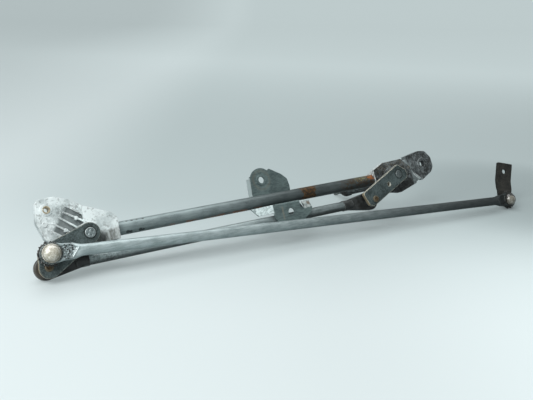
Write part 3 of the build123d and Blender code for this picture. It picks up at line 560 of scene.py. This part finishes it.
CASTINGS = {
    "left_casting": dict(light=rgb(228, 237, 237), dark=rgb(184, 195, 195), dirt=rgb(92, 97, 95), dirty=0.45,
                         extra=ear_hollow, stains=[((17, -9, 12), 8, BLACK, 0.75)]),
    "right_casting": dict(light=rgb(116, 124, 126), dark=rgb(62, 69, 71), dirt=BLACK, dirty=0.75,
                          edge=rgb(176, 184, 184), extra=right_dirt_and_light),
}
MOULDINGS = {
    "seal_rubber": dict(light=rgb(40, 40, 37), dark=rgb(18, 18, 17), rough=0.35, gloss=0.3),
    "cap_rubber": dict(light=rgb(44, 45, 45), dark=rgb(28, 28, 28), rough=0.6),
    "washer_plastic": dict(light=rgb(196, 190, 172), dark=rgb(160, 152, 128), rough=0.45),
    # Moulded ends: the pale edge colour is a painted highlight
    "moulded_black": dict(light=rgb(54, 57, 57), dark=rgb(28, 29, 28), rough=0.4, edge=rgb(160, 168, 166),
                          stains=[((-68, -34, 8), 13, rgb(84, 78, 68), 0.6)], extra=rim_light_below),
    "socket_plastic": dict(light=rgb(236, 235, 225), dark=rgb(178, 174, 158), rough=0.24, gloss=0.9, extra=grease_and_shade),
}
finishes = {name: make(name, **look) for make, looks in ((steel, STEELS), (casting, CASTINGS), (moulding, MOULDINGS))
            for name, look in looks.items()}
link_rod_finish = steel("link_rod_steel", rgb(178, 192, 193), rgb(144, 158, 159), (60, 420, 0.48), drawn=DRAWN,
                        extra=rod_shade_and_smudges)
slots = {part["node"]: part["material_slot"] for part in record["subparts"]}
for name, obj in nodes.items():
    obj.data.materials.clear()
    obj.data.materials.append(link_rod_finish if name == "link_rod" else finishes[slots[name]])


# Computed skins

def skin(name, rings, body, node, sharp=40):
    """A closed skin through rings of world points, an array of rows by columns by 3: a quad between every four
    neighbours and a fan to the middle of the first and the last ring. It rides on a body with a node's finish, and
    edges sharper than an angle in degrees stay sharp."""
    rows, columns, _ = rings.shape
    points = np.concatenate([rings.reshape(-1, 3), rings[[0, -1]].mean(1)])
    here = np.arange(rows * columns).reshape(rows, columns)
    beside = np.roll(here, -1, 1)
    quads = np.stack([here[:-1], beside[:-1], beside[1:], here[1:]], -1).reshape(-1, 4)
    hub = np.full(columns, rows * columns)
    fans = np.concatenate([np.stack([beside[0], here[0], hub], -1), np.stack([here[-1], beside[-1], hub + 1], -1)])
    a, b, c, d = (points[quads[:, k]] for k in range(4))
    if np.einsum("ij,ij->", np.cross(c - a, d - b), a + b + c + d - 4 * points.mean(0)) < 0:
        quads, fans = quads[:, ::-1], fans[:, ::-1]
    mesh = bpy.data.meshes.new(name)
    mesh.from_pydata(points.tolist(), [], quads.tolist() + fans.tolist())
    mesh.shade_smooth()
    mesh.set_sharp_from_angle(angle=radians(sharp))
    mesh.materials.append(finishes[slots[node]])
    obj = bpy.data.objects.new(name, mesh)
    scene.collection.objects.link(obj)
    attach(obj, body)
    return obj


def stations(corners, step):
    """Points along the straight runs between corners, no more than a step apart, with every corner kept."""
    corners = np.array(corners, float)
    runs = []
    for a, b in zip(corners[:-1], corners[1:]):
        count = int(np.ceil(np.linalg.norm(b - a) / step)) + 1
        runs.append(a + np.linspace(0, 1, count)[:-1, None] * (b - a))
    return np.concatenate(runs + [corners[-1:]])


def turned(corners, step, columns, centre, axis, shape):
    """Rings round an axis: a profile of (radius, height) corners in millimetres, spun in equal steps from ACROSS,
    with the radius and height of each point passed through shape(radius, height, turn)."""
    profile = stations(corners, step)
    turn = np.linspace(0, 2 * pi, columns, endpoint=False)[None]
    radius, height = np.broadcast_arrays(*shape(profile[:, :1], profile[:, 1:], turn))
    side = np.array(ACROSS)
    axis = np.array(axis)
    side = side - axis * (side @ axis)
    side /= np.linalg.norm(side)
    out = radius[..., None] * (np.cos(turn)[..., None] * side + np.sin(turn)[..., None] * np.cross(axis, side))
    return np.array(centre) + (out + height[..., None] * axis) / 1000


def reach(node, way):
    """Lowest and highest millimetre of a CAD node along a direction from the left pivot."""
    mesh = nodes[node].data
    points = np.empty(len(mesh.vertices) * 3)
    mesh.vertices.foreach_get("co", points)
    along = (points.reshape(-1, 3) - np.array(PIVOT)) @ np.array(way) * 1000
    return along.min(), along.max()


def rising(value, start, width=1.0):
    """A straight rise from zero at start to one a width further."""
    return np.clip((value - start) / width, 0, 1)


def zigzag(phase):
    """A wave of straight lines: one at every whole number, zero halfway between."""
    return np.abs(phase % 1 * 2 - 1)


def hammered(radius, height, turn, marks, size, depth, seed):
    """Height lowered by bell-shaped dents at (distance, angle) marks and by a little seeded unevenness."""
    x, y = radius * np.cos(turn), radius * np.sin(turn)
    dents = 0
    for away, angle in marks:
        dents = dents + np.exp(-((x - away * cos(angle)) ** 2 + (y - away * sin(angle)) ** 2) / size ** 2)
    phase = np.random.default_rng(seed).uniform(0, 2 * pi, 4)
    uneven = sum(np.sin(k * 0.9 * x + phase[k]) * np.cos(k * 0.8 * y + phase[k - 1]) for k in (1, 2, 3))
    return height - depth * dents - 0.05 * uneven


# Pivot shafts: punched head, journal, clip groove, knurled cone and a rolled thread at the arm's end
LEVER_BACK, LEVER_FRONT = reach("left_lever", SHAFT)
JOURNAL, LEVER_SEAT, CLIP_GROOVE, CONE_TIP, THREAD = 6.0, 5.0, 5.4, 4.9, 4.0
CONE_LENGTH, THREAD_LENGTH, THREAD_PITCH, THREAD_DEPTH = 10.0, 18.0, 1.25, 0.65
KNURL_TEETH, KNURL_DEPTH = 24, 0.35
PUNCH_MARKS = [(3.4, radians(20 + 90 * k)) for k in range(4)]
for side, body, joint, stake in (("left", "left_lever_and_shaft", "left_pivot", 6.4),
                                 ("right", "right_lever_and_shaft", "right_pivot", 5.7)):
    node = f"{side}_pivot_shaft"
    tip, head = reach(node, SHAFT)
    clip_back, clip_front = reach(f"{side}_circlip", SHAFT)
    cone = tip + THREAD_LENGTH + CONE_LENGTH

    def worked(radius, height, turn):
        """The profile with a punched and slightly domed head, a knurl on the cone and a helical thread on the end."""
        dented = hammered(radius, height, turn, PUNCH_MARKS, 1.0, 0.9, 5)
        height = height + rising(height, head - 0.6, 0.6) * (dented - height - 0.12 * radius)
        knurl = rising(-height, -cone, 0.8) * rising(height, tip + THREAD_LENGTH + 0.3, 0.8)
        radius = radius - KNURL_DEPTH * knurl * zigzag(turn * KNURL_TEETH / (2 * pi))
        thread = (rising(height, tip + 0.8, THREAD_PITCH)
                  * rising(-height, 0.6 - tip - THREAD_LENGTH, THREAD_PITCH))
        return radius - THREAD_DEPTH * thread * zigzag(height / THREAD_PITCH + turn / (2 * pi)), height

    corners = [(0.3, head), (stake - 1.3, head), (stake - 0.5, head - 0.35), (stake, head - 1.2),
               (stake, LEVER_FRONT), (LEVER_SEAT, LEVER_FRONT), (LEVER_SEAT, LEVER_BACK), (JOURNAL, LEVER_BACK),
               (JOURNAL, clip_front), (CLIP_GROOVE, clip_front), (CLIP_GROOVE, clip_back), (JOURNAL, clip_back),
               (JOURNAL, cone), (CONE_TIP, tip + THREAD_LENGTH), (THREAD, tip + THREAD_LENGTH),
               (THREAD, tip + 1), (THREAD - 1, tip), (0.3, tip)]
    rings = turned(corners, 0.35, 96, joints[joint]["pos_m"], SHAFT, worked)
    obj = skin(f"{side}_worked_shaft", rings, body, node)
    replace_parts(obj, node)

# Ball studs: ball, neck, shoulder, and a head hammered flat over the plate
BALL, NECK, SHOULDER, PLATE_HOLE, HEAD = 8.0, 4.6, 7.5, 4.0, 5.2
HEAD_THICKNESS = 1.8
BALL_ARC = np.linspace(-0.95, 1.5, 22)
crank_axis = Vector(mounts["crank_spindle_hole"]["axis"])
link_offset = Vector(joints["link_ball"]["pos_m"]) - PIVOT
right_link = Vector(joints["right_pivot"]["pos_m"]) + link_offset
studs = [("left_drive_stud", "left_lever_and_shaft", joints["drive_ball"]["pos_m"], SHAFT),
         ("crank_stud", "motor_crank", joints["crank_ball"]["pos_m"], crank_axis),
         ("left_link_stud", "left_lever_and_shaft", joints["link_ball"]["pos_m"], -SHAFT),
         ("right_link_stud", "right_lever_and_shaft", right_link, -SHAFT)]
for seed, (node, body, ball, axis) in enumerate(studs):
    head = reach(node, axis)[0] - 1000 * (Vector(ball) - PIVOT).dot(axis)
    under = head + HEAD_THICKNESS
    shoulder = under + (LEVER_FRONT - LEVER_BACK)

    def beaten(radius, height, turn):
        """The profile with a dented head and a faint wobble round its rim."""
        dents = [(2.2, 1.0 + seed), (1.6, 3.4 + seed), (3.4, 5.2)]
        dented = hammered(radius, 0 * height, turn, dents, 1.3, 0.45, seed)
        wobble = rising(-height, -head - 1.9) * 0.18 * np.sin(3 * turn + seed)
        return radius + wobble * radius / HEAD, height - rising(-height, -head - 1.0) * dented

    corners = [(0.3, head), (3.2, head), (4.6, head + 0.5), (HEAD, head + 1.1), (HEAD, under), (PLATE_HOLE, under),
               (PLATE_HOLE, shoulder), (SHOULDER, shoulder), (SHOULDER, shoulder + 1.6), (5.4, shoulder + 2.4),
               (NECK, shoulder + 3.6)]
    corners += [(BALL * cos(t), BALL * sin(t)) for t in BALL_ARC]
    rings = turned(corners, 0.45, 72, ball, axis, beaten)
    obj = skin(f"{node}_beaten", rings, body, node)
    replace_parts(obj, node)

# Drive rod: a tube squeezed flat towards both ends, with a pressed pocket, dimples and a raised crease
drive_ball = Vector(joints["drive_ball"]["pos_m"])
motor_ball = Vector(joints["crank_ball"]["pos_m"])
ROD = (motor_ball - drive_ball).normalized()
ROD_FACE = (SHAFT - ROD * SHAFT.dot(ROD)).normalized()
ROD_SIDE = ROD_FACE.cross(ROD)
SPAN = (motor_ball - drive_ball).length * 1000
EYE, EYE_HALF, ROD_RADIUS = 13.0, 2.7, 7.0
POCKET_DEPTH, DIMPLE_DEPTH, CREASE_HEIGHT = 1.2, 0.45, 0.8


def squeezed_rod():
    """Rings along the rod: half width a and half depth b of a rounded section, y = a cos t and
    z = b (1 - |cos t|^n)^(1/n), with n falling from 6 at the eye to 2 in the round tube. The front is lowered inside
    the pocket by a smooth step of the distance to its outline and by bell-shaped dimples, and raised by a bell
    shape along the slanted end of that outline."""
    ends = np.concatenate([-EYE * np.cos(np.linspace(0.02, pi / 2, 22)), np.arange(0.5, 44, 0.5)])
    middle = np.linspace(46, SPAN - 46, 110)
    s = np.concatenate([ends, middle, SPAN - ends[::-1]])
    e = np.minimum(s, SPAN - s)  # distance from the nearer ball
    a = np.where(e < 2.7, np.sqrt(np.clip(EYE ** 2 - e ** 2, 0.05, None)),
                 np.interp(e, [2.7, 14, 20, 25.5, 30, 35, 40], [12.7, 10, 10, 9.7, 8.4, 7.3, ROD_RADIUS]))
    b = np.interp(e, [0, 19, 22, 25.5, 30, 35, 40], [EYE_HALF, EYE_HALF, 2.8, 3.3, 4.9, 6.4, ROD_RADIUS])
    n = np.interp(e, [0, 20, 30, 38], [6, 5, 2.6, 2])
    wobble = 1 + 0.008 * np.sin(s / 37.0) + 0.006 * np.sin(s / 11.3 + 1)
    a, b = a * np.where(e > 45, wobble, 1), b * np.where(e > 45, 2 - wobble, 1)
    t = np.linspace(0, 2 * pi, 128, endpoint=False)[None]
    a, b, n, e = a[:, None], b[:, None], n[:, None], e[:, None]
    y = a * np.cos(t)
    z = b * np.sign(np.sin(t)) * (1 - np.abs(np.cos(t)) ** n).clip(0) ** (1 / n)
    slant = ((31 - e) * 11 - (3.6 - y) * 8) / 13.6
    corner = ((7.2 - y) * 7 - (e - 24) * 3.6) / 7.87
    inside = np.minimum.reduce([np.hypot(e, y) - EYE - 0.2, 7.8 - np.abs(y), slant, corner])
    step = np.clip(inside, 0, 1)
    step = step * step * (3 - 2 * step)
    pocket = POCKET_DEPTH * step * np.clip((32 - e) / 6, 0.25, 1)
    spots = np.random.default_rng(11).uniform((12, -8), (31, 8), (70, 2))
    dimples = np.exp(-((e[..., None] - spots[:, 0]) ** 2 + (y[..., None] - spots[:, 1]) ** 2) / 0.75 ** 2).sum(-1)
    pressed = pocket + DIMPLE_DEPTH * step * np.clip(dimples, 0, 1.4)
    crease = CREASE_HEIGHT * np.exp(-((inside + 0.5) / 0.8) ** 2) * rising(e, 14, 6) * rising(-e, -38, 6)
    z = z + np.where(np.sin(t) > 0.05, crease - pressed, 0)
    points = s[:, None, None] * np.array(ROD) + y[..., None] * np.array(ROD_SIDE) + z[..., None] * np.array(ROD_FACE)
    return np.array(drive_ball) + points / 1000


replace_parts(skin("squeezed_rod", squeezed_rod(), "drive_rod_assembly", "drive_rod", sharp=50), "drive_rod")

# Grease seals: a torn rubber ring behind each eye
SEAL_PROFILE = [(9.7, -8.4), (11.8, -8.4), (13.9, -6.2), (14.3, -4.4), (14.2, -3.4), (13.2, -2.8), (11.7, -2.8),
                (11.7, -4.6), (9.7, -6.6), (9.7, -8.4)]
for seed, (side, ball) in enumerate((("left", drive_ball), ("right", motor_ball))):
    node = f"drive_rod_{side}_seal"
    tears = np.random.default_rng(seed + 3).uniform(-1.5, 2.2, 60)

    def torn(radius, height, turn):
        """The rim's radius pushed in and out by seeded random tears, joined by straight lines round the ring and
        kept below 0.3 + 1.6 |cos turn| so that the two ends of the linkage reach no further out."""
        ragged = np.interp(turn / (2 * pi) * len(tears), np.arange(len(tears) + 1), np.append(tears, tears[0]))
        ragged = np.minimum(ragged, 0.3 + 1.6 * np.abs(np.cos(turn)))
        return radius + ragged * rising(radius, 12.6, 1.5), height + 0.5 * ragged * rising(radius, 13)

    rings = turned(SEAL_PROFILE, 0.5, 180, ball, ROD_FACE, torn)
    obj = skin(f"{side}_torn_seal", rings, "drive_rod_assembly", node, sharp=60)
    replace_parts(obj, node)

# Rounded crests on the three ribs, given by their ends, and the two pips of the left ear
RIBS = [((-21.5, 32.5), (3.0, 16.4)), ((-27.5, 27.0), (-4.0, 7.5)), ((-37.0, 21.3), (-11.0, 1.5))]
PIPS = [(-6.9, 22.8), (-22.1, 9.6)]
CREST_HALF, CREST_HEIGHT, CREST_RISE, CREST_SINK = 1.15, 5.6, 1.35, 0.5
PIP_RADIUS, PIP_FOOT, PIP_HEIGHT, PIP_DOME = 2.6, 3.5, 5.4, 2.4


def rib_crest(start, end, seed):
    """Rings along a rib: an upright oval that shrinks to nothing at both ends, half width w g and half height h g,
    with g = (1 - |2 s - 1|^10)^(1/2) (1 + two seeded sine waves) and s running from 0 to 1 in cosine steps."""
    start, end = np.array(start), np.array(end)
    length = np.linalg.norm(end - start)
    way = (end - start) / length
    wave, ripple = np.random.default_rng(seed).uniform(0, 6, 2)
    s = (1 - np.cos(np.linspace(0.03, pi - 0.03, 70)))[:, None] / 2
    t = np.linspace(0, 2 * pi, 28, endpoint=False)[None]
    swell = (1 - np.abs(2 * s - 1) ** 10) ** 0.5 * (1 + 0.12 * np.sin(9 * s + wave) + 0.08 * np.sin(23 * s + ripple))
    across = CREST_HALF * swell * np.cos(t)
    height = CREST_HEIGHT + np.where(np.sin(t) > 0, CREST_RISE, CREST_SINK) * swell * np.sin(t)
    flat = start + s[..., None] * length * way + across[..., None] * np.array([-way[1], way[0]])
    return place(np.concatenate([flat, height[..., None]], -1))


for index, (start, end) in enumerate(RIBS):
    skin(f"rib_crest_{index + 1}", rib_crest(start, end, index), "frame", "left_pivot_housing", sharp=80)
for index, centre in enumerate(PIPS):
    def lumpy(radius, height, turn):
        """A rounded knob with three lobes."""
        return radius * (1 + 0.14 * np.sin(3 * turn + index)), height + 0.15 * np.sin(2 * turn) * radius / PIP_RADIUS

    corners = [(PIP_RADIUS * cos(t), PIP_HEIGHT + PIP_DOME * sin(t)) for t in np.linspace(1.45, 0, 10)]
    corners += [(PIP_RADIUS + 0.1, PIP_FOOT), (0.3, PIP_FOOT)]
    rings = turned(corners, 0.35, 40, place(np.array([*centre, 0.0])), SHAFT, lumpy)
    skin(f"cast_pip_{index + 1}", rings, "frame", "left_pivot_housing", sharp=80)


# Floor, swept up into a backdrop far behind
YAW, PITCH, ROLL = radians(32.35), radians(16.71), radians(2.68)  # how the fitted camera is turned


def swept_floor(width, front, back, rise):
    """Flat floor from front to back, then a quarter circle of radius rise that climbs behind and goes on upright: a
    profile along a line."""
    turn = np.linspace(0, pi / 2, 24)
    y = np.concatenate([[front], np.linspace(-1.5, back, 12), back + rise * np.sin(turn[1:]), [back + rise]])
    z = np.concatenate([[0], np.zeros(12), rise * (1 - np.cos(turn[1:])), [rise * 3]])
    x = np.linspace(-width, width, 3)
    grid = np.stack([np.repeat(x, len(y)), np.tile(y, len(x)), np.tile(z, len(x))], 1)
    n = len(y)
    corner = (np.arange(2)[:, None] * n + np.arange(n - 1)).reshape(-1)
    faces = np.stack([corner, corner + n, corner + n + 1, corner + 1], 1)
    mesh = bpy.data.meshes.new("floor")
    mesh.from_pydata(grid.tolist(), [], faces.tolist())
    mesh.shade_smooth()
    return bpy.data.objects.new("floor", mesh)


def floor_paper():
    """Pale matt paper, darker behind as painted shade, that also glows where the camera sees it, as painted uneven
    light: more far behind and in front, most on the right there, and less in a round painted shadow behind the right
    end and far out on the left."""
    f = Finish("floor_paper")
    spread = f.add("ShaderNodeSeparateXYZ")
    f.link(f.source.outputs["Object"], spread.inputs[0])
    x, y = spread.outputs["X"], spread.outputs["Y"]
    deep = f.plus(f.times(x, sin(YAW)), f.times(y, cos(YAW)))
    wide = f.minus(f.times(x, cos(YAW)), f.times(y, sin(YAW)))
    # Painted shade: the paper darkens from front to back
    paper = f.mix(f.ramp(deep, -0.38, 0.1), rgb(166, 173, 174), rgb(138, 149, 150))
    paper = f.mix(f.ramp(wide, -0.25, -0.62), paper, rgb(168, 176, 177))
    glow = f.plus(f.ramp(deep, 0.3, 2.8, 0.37, 0.86), f.ramp(deep, 0.15, -0.35, 0.0, 0.12))
    glow = f.plus(glow, f.times(f.ramp(deep, 0.1, -0.2), f.ramp(wide, 0.0, 0.36, 0.0, 0.3)))
    # Painted shadow: less glow in a round spot behind the right end
    shadow_patch = f.plus(f.math("POWER", f.minus(wide, 0.42), 2.0), f.math("POWER", f.minus(deep, 0.24), 2.0))
    glow = f.times(glow, f.ramp(shadow_patch, 0.09, 0.0, 1.0, 0.5), f.ramp(wide, -0.3, -1.6, 1.0, 0.75))
    seen = f.add("ShaderNodeLightPath").outputs["Is Camera Ray"]
    f.put(f.shader.inputs["Emission Color"], (0.51, 0.58, 0.585))
    f.put(f.shader.inputs["Emission Strength"], f.times(seen, glow))
    f.shader.inputs["Specular IOR Level"].default_value = 0.1
    return f.finish(paper, 0.9)


floor = swept_floor(width=14.0, front=-5.0, back=6.0, rise=3.0)
scene.collection.objects.link(floor)
floor.data.materials.append(floor_paper())


# Light: a soft lamp high in front on the left, a weaker one overhead, and a pale room
def lamp(name, location, aim, size, power):
    """A round lamp that looks at a point: metres and watts."""
    data = bpy.data.lights.new(name, "AREA")
    data.shape = "DISK"
    data.size = size
    data.energy = power
    obj = bpy.data.objects.new(name, data)
    obj.location = location
    obj.rotation_euler = (Vector(aim) - Vector(location)).to_track_quat("-Z", "Y").to_euler()
    scene.collection.objects.link(obj)


lamp("key_lamp", location=(-1.45, -0.75, 1.35), aim=(-0.15, 0, 0), size=1.3, power=34)
lamp("top_lamp", location=(-0.1, 0.6, 1.9), aim=(-0.1, 0, 0), size=2.0, power=22)
world = bpy.data.worlds.new("room")
scene.world = world
world.use_nodes = True
room = world.node_tree.nodes["Background"]
room.inputs["Color"].default_value = (0.86, 0.93, 0.94, 1)
room.inputs["Strength"].default_value = 0.4

# Camera, fitted to the photograph: its focal length in pixels and its place from the left pivot
FOCAL_PIXELS, PHOTO_WIDTH, SENSOR_WIDTH = 678.12, 533.0, 36.0
CAMERA_PLACE = PIVOT + Vector((-0.23463, -0.79059, 0.29519))
data = bpy.data.cameras.new("camera")
camera = bpy.data.objects.new("camera", data)
scene.collection.objects.link(camera)
scene.camera = camera
data.sensor_width = SENSOR_WIDTH
data.lens = FOCAL_PIXELS * SENSOR_WIDTH / PHOTO_WIDTH
data.clip_end = 50
forward = Vector((sin(YAW) * cos(PITCH), cos(YAW) * cos(PITCH), -sin(PITCH)))
level = Vector((cos(YAW), -sin(YAW), 0))
top = level.cross(forward)
right_way = level * cos(ROLL) + top * sin(ROLL)
up_way = top * cos(ROLL) - level * sin(ROLL)
camera.matrix_world = Matrix((right_way, up_way, -forward)).transposed().to_4x4()
camera.location = CAMERA_PLACE

scene.view_settings.view_transform = "Standard"
